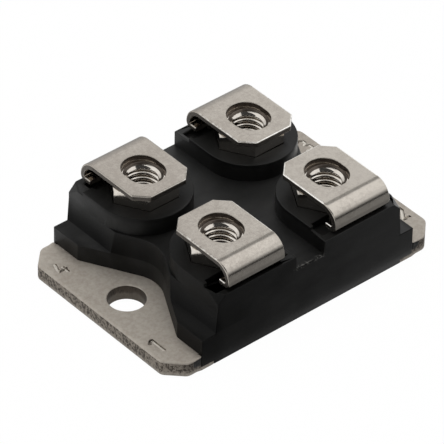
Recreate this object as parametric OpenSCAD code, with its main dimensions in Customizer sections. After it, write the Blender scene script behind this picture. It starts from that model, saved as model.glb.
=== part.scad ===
// Four-terminal screw power module with an isolated baseplate, in millimetres.
// Frame: +X along the plate, +Y across it, +Z up. The origin is the middle of the plate's underside.
// Terminals 1 and 2 are in the -Y row, 3 and 4 in the +Y row, counted anticlockwise from -X.

/* [Baseplate] */
// Thickness of the plate
plate_t = 1.95; // [1.6:0.05:2.6]
// Distance between the two mounting holes
mount_pitch = 30.2; // [29.6:0.1:31.4]
// Diameter of the mounting holes
mount_d = 4.3; // [3.3:0.1:4.8]
// Distance from a mounting hole to the plate's end
plate_end = 3.95; // [3.2:0.05:5]
// Chamfer of the plate's corners
plate_chamfer = 2.1; // [1:0.1:2.6]
// Depth of the long sides' recess, which the moulding grips
grip_d = 0.6; // [0.3:0.05:1]
// Thickness of the rim left under the ends of that recess
grip_rim = 0.5; // [0.3:0.05:1]
// Length of the rim at each end of the recess
grip_rim_l = 1.75; // [1:0.05:2.2]

/* [Housing] */
// Height of the tower tops above the plate's underside
tower_top = 9.25; // [8.9:0.05:10.5]
// Radius of the towers' round inner ends, and half their width
tower_r = 5.5; // [5.1:0.05:5.9]
// Distance from a terminal's axis out to the long side
side_reach = 6.05; // [5.95:0.05:6.8]
// Depth of the cross channel below the tower tops
channel_depth = 2.2; // [1.2:0.05:2.8]
// Length of the end ledges beyond the towers
ledge_l = 2.1; // [1.8:0.05:2.8]
// Height of the end ledges above the plate
ledge_h = 2.1; // [1:0.05:3]
// Radius of the screw notches round the mounting holes
notch_r = 4.05; // [3.6:0.05:4.3]
// Width of the screw notches at their mouths
notch_mouth = 16.7; // [12:0.1:18]
// Drop from the tower top to the lip that the strip crosses
lip_drop = 0.45; // [0.2:0.05:0.6]
// Drop from the tower top to the groove behind the lip
groove_drop = 0.95; // [0.65:0.05:1.1]
// Distance from a terminal's axis to the shelf that ends in the lip
shelf_in = 3.65; // [3.4:0.05:4]
// Distance from a terminal's axis to the groove's inner wall
groove_in = 3.15; // [2.8:0.05:3.4]
// Wall left at both ends of the groove
groove_wall = 0.5; // [0.3:0.05:0.8]
// Cut of the lip's outer corner along the long side
corner_in = 1; // [0.5:0.05:1.2]
// Cut of the lip's outer corner along the end wall
corner_run = 1.6; // [0.8:0.05:2]
// Cut of the lip's outer corner down its upright edge
corner_drop = 1.05; // [0.5:0.05:1.4]
// Spread of the end walls from the channel floor down to the plate
end_draft = 0.4; // [0:0.05:0.8]
// Height of the space inside, above the plate
cavity_h = 3.05; // [2.9:0.05:3.4]
// Wall between the space inside and a screw notch
notch_wall = 0.9; // [0.6:0.05:1.4]
// Wall between the space inside and a long side
side_wall = 1.05; // [0.9:0.05:1.1]
// Roof left between the space inside and a screw's end
screw_roof = 1; // [0.6:0.05:1.6]
// Diameter of the room for the screw's end under a nut
screw_room_d = 4.4; // [4.2:0.1:5]

/* [Nuts] */
// Width across the flats of a nut
nut_af = 7; // [6.4:0.1:7.1]
// Height of a nut
nut_h = 3.2; // [2.8:0.05:4]
// Diameter of a nut's bore
nut_bore_d = 3.3; // [2.6:0.05:3.6]
// Depth of the nut's pocket in the tower
pocket_depth = 1.25; // [0.8:0.05:1.6]
// Gap between a nut's flats and its pocket
nut_gap = 0.1; // [0.05:0.01:0.15]

/* [Terminals] */
// Distance between the terminals along the plate
pitch_x = 15; // [14.6:0.1:15.6]
// Distance between the terminals across the plate
pitch_y = 12.9; // [12.6:0.1:14]
// Width of a terminal strip
strip_w = 7.85; // [7.2:0.05:8.2]
// Thickness of a terminal strip
strip_t = 0.65; // [0.5:0.05:1]
// Distance from a terminal's axis to the tip of its tongue
tip_reach = 4.25; // [3.8:0.05:5]
// Chamfer of the tongue's tip
tip_chamfer = 1.5; // [0.5:0.05:2]
// Distance from a terminal's axis to the strip's outer face
leg_reach = 5.95; // [5.8:0.05:6]
// Inner radius of the strip's small bends
fold_r = 0.15; // [0.1:0.01:0.2]
// Width of the strip inside the housing
leg_w = 3.6; // [2.4:0.1:3.8]
// Length of the foot on its track
foot_l = 1.4; // [0.8:0.1:2]
// Width of the oval screw hole
eye_w = 4.4; // [4:0.1:4.8]
// Length of the oval screw hole
eye_l = 5.25; // [4.8:0.05:5.6]
// Gap between a strip and the housing round it
strip_gap = 0.1; // [0.05:0.01:0.15]

/* [Board and chips] */
// Thickness of each solder layer
solder_t = 0.1; // [0.05:0.01:0.15]
// Thickness of each copper layer of the board
copper_t = 0.3; // [0.2:0.05:0.4]
// Thickness of the ceramic
ceramic_t = 0.4; // [0.25:0.05:0.65]
// Gap between the ceramic and the housing's end walls
board_gap = 0.35; // [0.2:0.05:0.8]
// Margin of bare ceramic round the copper
copper_margin = 0.4; // [0.2:0.05:0.6]
// Gap between two tracks
track_gap = 0.6; // [0.4:0.05:1]
// Width of the emitter track
emitter_track_w = 4.4; // [4.2:0.1:4.8]
// Width of the gate track
gate_track_w = 4.4; // [4.2:0.1:4.8]
// Length of the gate track
gate_track_l = 2.9; // [2.7:0.1:3.4]
// Side of the square switch chip
igbt_s = 8; // [6:0.1:9]
// Side of the square diode chip
diode_s = 6; // [4:0.1:7]
// Thickness of both chips
chip_t = 0.3; // [0.15:0.05:0.4]
// Gap round the chips, to each other and to the track's edges
chip_gap = 0.8; // [0.4:0.1:1.2]
// Margin of solder round a chip
solder_margin = 0.15; // [0.05:0.05:0.3]
// Diameter of the power bond wires
wire_d = 0.38; // [0.25:0.01:0.4]
// Diameter of the gate bond wire
gate_wire_d = 0.25; // [0.15:0.01:0.3]
// Rise of the bond wires above the tracks
wire_rise = 1.3; // [1.1:0.05:1.4]
// Pitch of the power bond wires
wire_pitch = 1.6; // [1:0.1:1.9]
// Gap between the gel and the roof over it
gel_room = 0.3; // [0.1:0.05:0.4]

/* [Hidden] */
$fn = 96;
eps = 0.05;

half_pitch = [pitch_x / 2, pitch_y / 2];
mount_x = mount_pitch / 2;
plate_l = mount_pitch + 2 * plate_end;
body_w = pitch_y + 2 * side_reach;
tower_end = half_pitch.x + tower_r;
body_l = 2 * (tower_end + ledge_l);

floor_z = tower_top - channel_depth;
ledge_z = plate_t + ledge_h;
lip_z = tower_top - lip_drop;
groove_z = tower_top - groove_drop;
pocket_z = tower_top - pocket_depth;
strip_under = pocket_z + nut_h;
strip_top = strip_under + strip_t;

// The space inside ends a wall short of the screw notches and the long sides.
cavity_z = plate_t + cavity_h;
cavity = [2 * (mount_x - notch_r - notch_wall), body_w - 2 * side_wall];

// The board's layers, from the plate up.
back_z = plate_t + solder_t;
ceramic_z = back_z + copper_t;
track_z = ceramic_z + ceramic_t;
track_top = track_z + copper_t;
chip_z = track_top + solder_t;
chip_top = chip_z + chip_t;
gel_top = cavity_z - gel_room;

// The strip's places, as distances from a terminal's axis toward the long side.
fold_out = fold_r + strip_t;
fold_axis = leg_reach - fold_out;
drop_out = fold_axis - fold_r;
drop_in = fold_axis - fold_out;
crossing_z = lip_z + strip_gap;
bend_out = strip_top - crossing_z - fold_out;
bend_in = bend_out - strip_t;
foot_axis = drop_out - fold_out;

board = [cavity.x - 2 * board_gap, 2 * (half_pitch.y + drop_out - strip_gap - board_gap)];
copper = [board.x - 2 * copper_margin, board.y - 2 * copper_margin];
collector_x0 = -copper.x / 2 + emitter_track_w + track_gap;
gate_y1 = -copper.y / 2 + gate_track_l;

// The chips stand one behind the other on the collector track.
chip_x = (collector_x0 + copper.x / 2) / 2 - chip_gap;
igbt_y = gate_y1 + track_gap + chip_gap / 2 + igbt_s / 2;
diode_y = igbt_y + igbt_s / 2 + chip_gap + diode_s / 2;
emitter_x = -copper.x / 2 + emitter_track_w / 2;

nickel = [0.69, 0.67, 0.64];
edge_grey = [0.62, 0.60, 0.57];
moulding = [0.13, 0.13, 0.14];
copper_red = [0.78, 0.47, 0.31];
solder_grey = [0.60, 0.62, 0.64];
ceramic_white = [0.93, 0.93, 0.90];
silicon = [0.38, 0.40, 0.46];
aluminium = [0.85, 0.86, 0.87];
gel_clear = [0.80, 0.85, 0.88, 0.35];

// A box centred on the Z axis, from z0 to z1.
module box(size, z0, z1) {
  translate([-size.x / 2, -size.y / 2, z0]) cube([size.x, size.y, z1 - z0]);
}

// A box between two opposite corners.
module span(from, to) {
  translate(from) cube(to - from);
}

// Its children at the two mounting holes.
module at_mounts() {
  for (side = [-1, 1])
    translate([side * mount_x, 0, 0]) children();
}

// Its children at a terminal's axis, with +X toward the module's near end and +Y toward its near long side.
module at_terminal(number) {
  flip_x = (number == 1 || number == 4) ? 1 : 0;
  flip_y = number < 3 ? 1 : 0;
  mirror([flip_x, 0, 0]) mirror([0, flip_y, 0]) translate(half_pitch) children();
}

// A rectangle with chamfered corners, as an outline.
module chamfered(size, chamfer) {
  x = size.x / 2;
  y = size.y / 2;
  polygon([
    [-x, chamfer - y], [chamfer - x, -y], [x - chamfer, -y], [x, chamfer - y],
    [x, y - chamfer], [x - chamfer, y], [chamfer - x, y], [-x, y - chamfer]
  ]);
}

// The part of the moulding that fills the plate's side recesses, or the recesses themselves.
module side_grip(depth, bottom) {
  for (side = [-1, 1]) {
    inner = body_w / 2 - depth;
    outer = body_w / 2 + (bottom < 0 ? eps : 0);
    y0 = side < 0 ? -outer : inner;
    y1 = side < 0 ? -inner : outer;
    span([grip_rim_l - body_l / 2, y0, bottom], [body_l / 2 - grip_rim_l, y1, plate_t + eps]);
    span([-body_l / 2, y0, grip_rim], [body_l / 2, y1, plate_t + eps]);
  }
}

module baseplate() {
  color(nickel) difference() {
    linear_extrude(plate_t) chamfered([plate_l, body_w], plate_chamfer);
    side_grip(grip_d, -eps);
    at_mounts() translate([0, 0, -eps]) cylinder(d = mount_d, h = plate_t + 2 * eps);
  }
}

// A screw notch in plan: a round bottom, with straight sides from it to the mouth's corners.
module notch_plan() {
  corner = [body_l / 2 - mount_x, notch_mouth / 2];
  reach = norm(corner);
  turn = atan2(corner.y, corner.x) + acos(notch_r / reach);
  touch = notch_r * [cos(turn), sin(turn)];
  outside = body_l;
  polygon([touch, corner, [outside, corner.y], [outside, -corner.y], [corner.x, -corner.y], [touch.x, -touch.y]]);
  circle(notch_r);
}

// A tower: round toward the middle of the module, straight out to the long side.
module tower() {
  translate([0, 0, plate_t]) cylinder(r = tower_r, h = tower_top - plate_t);
  span([-tower_r, 0, plate_t], [tower_r, side_reach, tower_top]);
}

// What takes off the lip's outer corner: all that lies beyond a plane through three points on the corner's edges.
module corner_cut() {
  normal = [1 / corner_in, 1 / corner_run, 1 / corner_drop];
  intersection() {
    span([0, 0, floor_z], [tower_r + eps, side_reach + eps, tower_top]);
    translate([tower_r, side_reach, lip_z - corner_drop])
      rotate([0, acos(normal.z / norm(normal)), atan2(normal.y, normal.x)])
        translate([-tower_r, -tower_r, 0]) cube(2 * tower_r);
  }
}

// The room that the strip crosses: a shelf across the whole tower, with a groove in it behind the lip.
module crossing_cuts() {
  wide = tower_r + eps;
  over = tower_top + eps;
  groove_x = tower_r - groove_wall;
  span([-wide, shelf_in, lip_z], [wide, side_reach + eps, over]);
  span([-groove_x, groove_in, groove_z], [groove_x, drop_out + strip_gap, over]);
  corner_cut();
}

// The hex pocket for a nut, the room for the screw's end under it and the slot for the strip.
module tower_cuts() {
  hex_r = (nut_af / 2 + nut_gap) / cos(30);
  room_z = cavity_z + screw_roof;
  slot_x = leg_w / 2 + strip_gap;
  crossing_cuts();
  translate([0, 0, pocket_z]) cylinder(r = hex_r, h = tower_top, $fn = 6);
  translate([0, 0, room_z]) cylinder(d = screw_room_d, h = tower_top);
  span([-slot_x, drop_in - strip_gap, plate_t], [slot_x, drop_out + strip_gap, tower_top]);
}

// The block under the towers, with drafted end walls.
module tower_block() {
  foot = tower_end + end_draft;
  translate([0, body_w / 2, 0]) rotate([90, 0, 0]) linear_extrude(body_w)
    polygon([[-foot, plate_t], [foot, plate_t], [tower_end, floor_z], [-tower_end, floor_z]]);
}

module housing() {
  color(moulding) difference() {
    union() {
      side_grip(grip_d, eps);
      box([body_l, body_w], plate_t, ledge_z);
      tower_block();
      for (number = [1:4])
        at_terminal(number) tower();
    }
    box(cavity, 0, cavity_z);
    for (number = [1:4])
      at_terminal(number) tower_cuts();
    for (turn = [0, 180])
      rotate(turn) translate([mount_x, 0, -eps]) linear_extrude(tower_top + 2 * eps) notch_plan();
  }
}

// A quarter bend of the strip, between two angles, about an axis along X.
module bend(width, at_y, at_z, inner, outer, from) {
  translate([-width / 2, at_y, at_z]) rotate([90, 0, 90]) rotate(from)
    rotate_extrude(angle = 90) translate([inner, 0]) square([outer - inner, width]);
}

// A terminal strip: a tongue over the nut, a round bend, a small fold across the lip and a foot inside.
module strip() {
  tip = -tip_reach;
  bend_y = leg_reach - bend_out;
  fold_z = crossing_z + fold_out;
  drop_z = crossing_z - fold_r;
  foot_z = track_top + fold_out;
  difference() {
    translate([0, 0, strip_under]) linear_extrude(strip_t) polygon([
      [-strip_w / 2, bend_y], [-strip_w / 2, tip + tip_chamfer], [tip_chamfer - strip_w / 2, tip],
      [strip_w / 2 - tip_chamfer, tip], [strip_w / 2, tip + tip_chamfer], [strip_w / 2, bend_y]
    ]);
    for (end = [-1, 1])
      translate([0, end * (eye_l - eye_w) / 2, 0]) cylinder(d = eye_w, h = strip_top + eps);
    span([-eye_w, eye_w - eye_l, 0] / 2, [eye_w / 2, (eye_l - eye_w) / 2, strip_top + eps]);
  }
  bend(strip_w, bend_y, strip_top - bend_out, bend_in, bend_out, 0);
  bend(strip_w, fold_axis, fold_z, fold_r, fold_out, 270);
  bend(leg_w, fold_axis, drop_z, fold_r, fold_out, 90);
  span([-leg_w / 2, drop_in, foot_z], [leg_w / 2, drop_out, drop_z]);
  bend(leg_w, foot_axis, foot_z, fold_r, fold_out, 270);
  span([-leg_w / 2, foot_axis - foot_l, track_top], [leg_w / 2, foot_axis, track_top + strip_t]);
}

module emitter_terminal_1() {
  color(nickel) at_terminal(1) strip();
}

module gate_terminal_2() {
  color(nickel) at_terminal(2) strip();
}

module collector_terminal_3() {
  color(nickel) at_terminal(3) strip();
}

module emitter_terminal_4() {
  color(nickel) at_terminal(4) strip();
}

// A hex nut with turned corners and a countersunk bore.
module nut() {
  corner_r = nut_af / 2 / cos(30);
  crown_h = (corner_r - nut_af / 2) * tan(30);
  bore_r = nut_bore_d / 2;
  sink = 0.35;
  difference() {
    intersection() {
      cylinder(r = corner_r, h = nut_h, $fn = 6);
      rotate_extrude() polygon([
        [0, 0], [nut_af / 2, 0], [corner_r, crown_h], [corner_r, nut_h - crown_h], [nut_af / 2, nut_h], [0, nut_h]
      ]);
    }
    translate([0, 0, -eps]) cylinder(r = bore_r, h = nut_h + 2 * eps);
    cylinder(r1 = bore_r + sink, r2 = bore_r, h = sink);
    translate([0, 0, nut_h - sink]) cylinder(r1 = bore_r, r2 = bore_r + sink, h = sink);
  }
}

module terminal_nuts() {
  color(edge_grey)
    for (number = [1:4])
      at_terminal(number) translate([0, 0, pocket_z]) nut();
}

module substrate_solder() {
  color(solder_grey) box(copper, plate_t, back_z);
}

module substrate_back_copper() {
  color(copper_red) box(copper, back_z, ceramic_z);
}

module substrate_ceramic() {
  color(ceramic_white) box(board, ceramic_z, track_z);
}

module collector_track() {
  color(copper_red) difference() {
    span([collector_x0, -copper.y / 2, track_z], [copper.x / 2, copper.y / 2, track_top]);
    span([copper.x / 2 - gate_track_w - track_gap, -copper.y / 2 - eps, track_z - eps],
         [copper.x / 2 + eps, gate_y1 + track_gap, track_top + eps]);
  }
}

module emitter_track() {
  color(copper_red)
    span([-copper.x / 2, -copper.y / 2, track_z], [emitter_track_w - copper.x / 2, copper.y / 2, track_top]);
}

module gate_track() {
  color(copper_red)
    span([copper.x / 2 - gate_track_w, -copper.y / 2, track_z], [copper.x / 2, gate_y1, track_top]);
}

// A square layer of a chip's place, from z0 to z1.
module chip_layer(y, side, z0, z1) {
  translate([chip_x, y, 0]) box([side, side], z0, z1);
}

module igbt_solder() {
  color(solder_grey) chip_layer(igbt_y, igbt_s + 2 * solder_margin, track_top, chip_z);
}

module diode_solder() {
  color(solder_grey) chip_layer(diode_y, diode_s + 2 * solder_margin, track_top, chip_z);
}

module igbt_chip() {
  color(silicon) chip_layer(igbt_y, igbt_s, chip_z, chip_top);
}

module diode_chip() {
  color(silicon) chip_layer(diode_y, diode_s, chip_z, chip_top);
}

// A bond wire over a chip's edge: the part of an upright ring that stands above the track and the chip.
module bond_wire(track_end, chip_end, diameter, chip_y, chip_side) {
  reach = norm(chip_end - track_end);
  rise = wire_rise - diameter / 2;
  ring_r = (pow(reach / 2, 2) + pow(rise, 2)) / (2 * rise);
  middle = (track_end + chip_end) / 2;
  along = atan2(chip_end.y - track_end.y, chip_end.x - track_end.x);
  difference() {
    translate([middle.x, middle.y, track_top + rise - ring_r]) rotate([90, 0, along])
      rotate_extrude() translate([ring_r, 0]) circle(d = diameter, $fn = 32);
    box([4 * ring_r, 4 * ring_r] + board, track_top - 4 * ring_r, track_top);
    chip_layer(chip_y, chip_side, track_top - eps, chip_top);
  }
}

// A row of power wires from a chip to the emitter track.
module wire_row(count, chip_y, chip_side) {
  for (i = [0:count - 1]) {
    y = chip_y + (i - (count - 1) / 2) * wire_pitch;
    bond_wire([emitter_x, y], [chip_x, y], wire_d, chip_y, chip_side);
  }
}

module emitter_bond_wires() {
  color(aluminium) wire_row(4, igbt_y, igbt_s);
}

module diode_bond_wires() {
  color(aluminium) wire_row(3, diode_y, diode_s);
}

module gate_bond_wire() {
  pad = [chip_x + igbt_s / 2 - chip_gap, igbt_y - igbt_s / 2 + chip_gap];
  landing = [copper.x / 2 - gate_track_w + 2 * chip_gap, gate_y1 - chip_gap];
  color(aluminium) bond_wire(landing, pad, gate_wire_d, igbt_y, igbt_s);
}

// Everything that the gel flows round.
module inner_parts() {
  substrate_solder();
  substrate_back_copper();
  substrate_ceramic();
  collector_track();
  emitter_track();
  gate_track();
  igbt_solder();
  diode_solder();
  igbt_chip();
  diode_chip();
  emitter_bond_wires();
  diode_bond_wires();
  gate_bond_wire();
  for (number = [1:4])
    at_terminal(number) strip();
}

module gel_fill() {
  color(gel_clear) difference() {
    box(cavity, plate_t, gel_top);
    inner_parts();
  }
}

baseplate();
housing();
emitter_terminal_1();
gate_terminal_2();
collector_terminal_3();
emitter_terminal_4();
terminal_nuts();
substrate_solder();
substrate_back_copper();
substrate_ceramic();
collector_track();
emitter_track();
gate_track();
igbt_solder();
diode_solder();
igbt_chip();
diode_chip();
emitter_bond_wires();
diode_bond_wires();
gate_bond_wire();
gel_fill();
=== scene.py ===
"""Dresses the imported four-terminal power module: plate, moulding, bent strips, nuts and inner board."""

from __future__ import annotations

import logging
import math
from dataclasses import dataclass
from dataclasses import field
from enum import Enum
from enum import IntEnum
from typing import Any
from typing import Mapping
from typing import Sequence
from typing import Union

import bmesh
import bpy
import numpy as np
from mathutils import Matrix
from mathutils import Vector

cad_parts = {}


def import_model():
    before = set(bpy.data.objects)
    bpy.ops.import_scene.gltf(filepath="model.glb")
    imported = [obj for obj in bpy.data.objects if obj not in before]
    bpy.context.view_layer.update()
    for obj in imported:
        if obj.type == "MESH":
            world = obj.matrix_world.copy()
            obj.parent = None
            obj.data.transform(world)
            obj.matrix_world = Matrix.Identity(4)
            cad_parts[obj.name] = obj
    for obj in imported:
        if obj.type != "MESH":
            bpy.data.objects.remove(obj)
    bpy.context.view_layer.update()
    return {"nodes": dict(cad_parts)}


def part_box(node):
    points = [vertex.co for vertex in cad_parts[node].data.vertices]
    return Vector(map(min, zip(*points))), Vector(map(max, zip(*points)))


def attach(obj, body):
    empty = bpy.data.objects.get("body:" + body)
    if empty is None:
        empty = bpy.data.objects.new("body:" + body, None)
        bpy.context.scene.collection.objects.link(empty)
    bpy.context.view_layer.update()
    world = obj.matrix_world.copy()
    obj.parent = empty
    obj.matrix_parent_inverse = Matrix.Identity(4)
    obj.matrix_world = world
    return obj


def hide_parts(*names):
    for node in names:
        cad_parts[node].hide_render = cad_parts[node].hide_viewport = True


LOG = logging.getLogger("power_module")
MM = 0.001
TINY = 1e-9
BODY = "root"
IMAGE_SIDE = 444
TERMINALS = ("emitter_terminal_1", "gate_terminal_2", "collector_terminal_3", "emitter_terminal_4")
WHITE = (1.0, 1.0, 1.0, 1.0)
BLACK = (0.0, 0.0, 0.0, 1.0)

Colour = tuple[float, float, float]
Triple = tuple[float, float, float]
Point = tuple[float, float]
Operand = Union["Signal", float]


class Slot(Enum):
    """The record's material slots."""

    PLATE = "plate"
    MOULDING = "moulding"
    TERMINAL = "terminal"
    NUT = "nut"
    SOLDER = "solder"
    COPPER = "copper"
    CERAMIC = "ceramic"
    SILICON = "silicon"
    BOND_WIRE = "bond_wire"
    GEL = "gel"


class Signal:
    """One value on a node's output socket; arithmetic on it adds the Math nodes that work it out."""

    def __init__(self, bench: Bench, socket: bpy.types.NodeSocket) -> None:
        """Keeps the bench that owns the tree, and the socket."""
        self.bench = bench
        self.socket = socket

    def sibling(self, output: str) -> Signal:
        """Another output of the same node, by its name."""
        return Signal(self.bench, self.socket.node.outputs[output])

    def math(self, operation: str, first: Operand, second: Operand) -> Signal:
        """Adds a Math node.

        Args:
            operation: the node's operation.
            first: its first operand.
            second: its second operand.

        Returns:
            The node's result.
        """
        return self.bench.add("ShaderNodeMath", {"operation": operation}, {0: first, 1: second})

    def __add__(self, other: Operand) -> Signal:
        """This value plus another."""
        return self.math("ADD", self, other)

    def __radd__(self, other: Operand) -> Signal:
        """Another value plus this one."""
        return self.math("ADD", other, self)

    def __sub__(self, other: Operand) -> Signal:
        """This value less another."""
        return self.math("SUBTRACT", self, other)

    def __rsub__(self, other: Operand) -> Signal:
        """Another value less this one."""
        return self.math("SUBTRACT", other, self)

    def __mul__(self, other: Operand) -> Signal:
        """This value times another."""
        return self.math("MULTIPLY", self, other)

    def __rmul__(self, other: Operand) -> Signal:
        """Another value times this one."""
        return self.math("MULTIPLY", other, self)

    def __or__(self, other: Operand) -> Signal:
        """The greater of two values, which joins two masks."""
        return self.math("MAXIMUM", self, other)

    def __ror__(self, other: Operand) -> Signal:
        """The greater of two values, the other one first."""
        return self.math("MAXIMUM", other, self)

    def between(self, low: float, high: float) -> Signal:
        """Carries this value smoothly from 0 at one level to 1 at another.

        Args:
            low: the level that gives 0.
            high: the level that gives 1.

        Returns:
            The clamped result.
        """
        settings = {"interpolation_type": "SMOOTHSTEP", "clamp": True}
        inputs = {"Value": self, "From Min": low, "From Max": high}
        return self.bench.add("ShaderNodeMapRange", settings, inputs)

    def until(self, low: float, high: float) -> Signal:
        """Carries this value smoothly from 1 at the lower level to 0 at the higher one."""
        return 1.0 - self.between(low, high)


@dataclass(frozen=True)
class Lumps:
    """A noise: its lumps in a millimetre, its finer octaves, their strength, and each axis's stretch.

    A stretch below 1 draws the lumps out along that axis.
    """

    scale: float
    detail: float = 2.0
    roughness: float = 0.5
    stretch: Triple = (1.0, 1.0, 1.0)


class Bench:
    """The node tree of one material or world, with one method that adds any node."""

    def __init__(self, tree: bpy.types.NodeTree) -> None:
        """Empties the tree and keeps it."""
        self.tree = tree
        self.tree.nodes.clear()

    @classmethod
    def for_material(cls, name: str) -> tuple[Bench, bpy.types.Material]:
        """Makes a new material with an empty tree.

        Args:
            name: the material's name.

        Returns:
            The bench and the material.
        """
        material = bpy.data.materials.new(name)
        material.use_nodes = True
        return cls(material.node_tree), material

    def add(self, kind: str, settings: Mapping[str, Any], inputs: Mapping[Union[str, int], Any]) -> Signal:
        """Adds a node of any type.

        Args:
            kind: the node's type.
            settings: its properties, which are set first.
            inputs: a number, a colour or a signal for each socket, by name or by place.

        Returns:
            The first output that is in use.
        """
        node = self.tree.nodes.new(kind)
        for name, value in settings.items():
            setattr(node, name, value)
        for name, value in inputs.items():
            socket = node.inputs[name]
            if isinstance(value, Signal):
                self.tree.links.new(value.socket, socket)
            else:
                socket.default_value = value
        used = [socket for socket in node.outputs if socket.enabled]
        return Signal(self, used[0] if used else None)

    def place(self, stretch: Triple = (1.0, 1.0, 1.0)) -> Signal:
        """The object's own coordinates, in millimetres.

        Args:
            stretch: what each axis is multiplied by.

        Returns:
            The coordinates.
        """
        object_place = self.add("ShaderNodeTexCoord", {}, {}).sibling("Object")
        scale = tuple(value / MM for value in stretch)
        return self.add("ShaderNodeVectorMath", {"operation": "MULTIPLY"}, {0: object_place, 1: scale})

    def axes(self) -> tuple[Signal, Signal, Signal]:
        """The object's own X, Y and Z, in millimetres."""
        apart = self.add("ShaderNodeSeparateXYZ", {}, {"Vector": self.place()})
        return apart.sibling("X"), apart.sibling("Y"), apart.sibling("Z")

    def noise(self, lumps: Lumps) -> Signal:
        """Soft noise on the object's own coordinates.

        Args:
            lumps: the noise's size and character.

        Returns:
            The noise, about 0.5 on average.
        """
        inputs = {
            "Vector": self.place(lumps.stretch),
            "Scale": lumps.scale,
            "Detail": lumps.detail,
            "Roughness": lumps.roughness,
        }
        return self.add("ShaderNodeTexNoise", {}, inputs)

    def blend(self, share: Operand, low: Any, high: Any) -> Signal:
        """Mixes two colours.

        Args:
            share: 0 for the first colour and 1 for the second.
            low: the first colour, as a tuple or a signal.
            high: the second colour, as a tuple or a signal.

        Returns:
            The mixed colour.
        """
        first, second = (value if isinstance(value, Signal) else (*value, 1.0) for value in (low, high))
        return self.add("ShaderNodeMix", {"data_type": "RGBA"}, {0: share, 6: first, 7: second})

    def bump(self, height: Signal, strength: float, distance: float) -> Signal:
        """A normal tilted by a height.

        Args:
            height: the height, from 0 to 1.
            strength: how much of the tilt is used.
            distance: the height of a full step, in millimetres.

        Returns:
            The normal.
        """
        inputs = {"Strength": strength, "Distance": distance * MM, "Height": height}
        return self.add("ShaderNodeBump", {}, inputs)

    def cover(self, shader: Signal) -> None:
        """Makes a shader the material's surface."""
        self.add("ShaderNodeOutputMaterial", {}, {"Surface": shader})

    def coat(self, sockets: Mapping[str, Any]) -> None:
        """Covers the surface with one principled shader, given its sockets' values and signals."""
        self.cover(self.add("ShaderNodeBsdfPrincipled", {}, sockets))


@dataclass(frozen=True)
class SheetMetal:
    """A plated sheet metal: satin, with a soft mottle, rolling lines and fine grain."""

    name: str
    tone: Colour
    shade: Colour
    roughness: float
    spread: float = 0.1
    mottle: Lumps = Lumps(0.45, 4.0, 0.6)
    patches: Lumps = Lumps(2.4, 3.0, 0.7)
    lines: Lumps = Lumps(1.0, 3.0, 0.6, (6.0, 0.5, 6.0))
    grain: Lumps = Lumps(9.0)
    tone_span: Point = (0.3, 0.7)
    patch_share: float = 0.6
    line_relief: float = 0.5
    relief: float = 0.35
    grain_height: float = 0.004
    metallic: float = 1.0
    painted_light_drift: float = 0.0

    def paint(self) -> bpy.types.Material:
        """Builds the material: colour from a mottle and patches, roughness and bump from lines and grain.

        The colour also grows lighter across the module, from terminal 4 to terminal 2, as painted light.

        Returns:
            The material.
        """
        bench, material = Bench.for_material(self.name)
        x, y, _ = bench.axes()
        mottle = bench.noise(self.mottle).between(*self.tone_span)
        patches = bench.noise(self.patches).between(*self.tone_span)
        lines = bench.noise(self.lines)
        grain = bench.noise(self.grain)
        # Painted light: the colour grows lighter from terminal 4 towards terminal 2.
        share = mottle * (1.0 - self.patch_share) + patches * self.patch_share + (x - y) * self.painted_light_drift
        bench.coat({
            "Base Color": bench.blend(share, self.shade, self.tone),
            "Metallic": self.metallic,
            "Roughness": self.roughness + (lines - 0.5) * self.spread + (grain - 0.5) * self.spread,
            "Normal": bench.bump(lines * self.line_relief + grain, self.relief, self.grain_height),
        })
        return material


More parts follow.
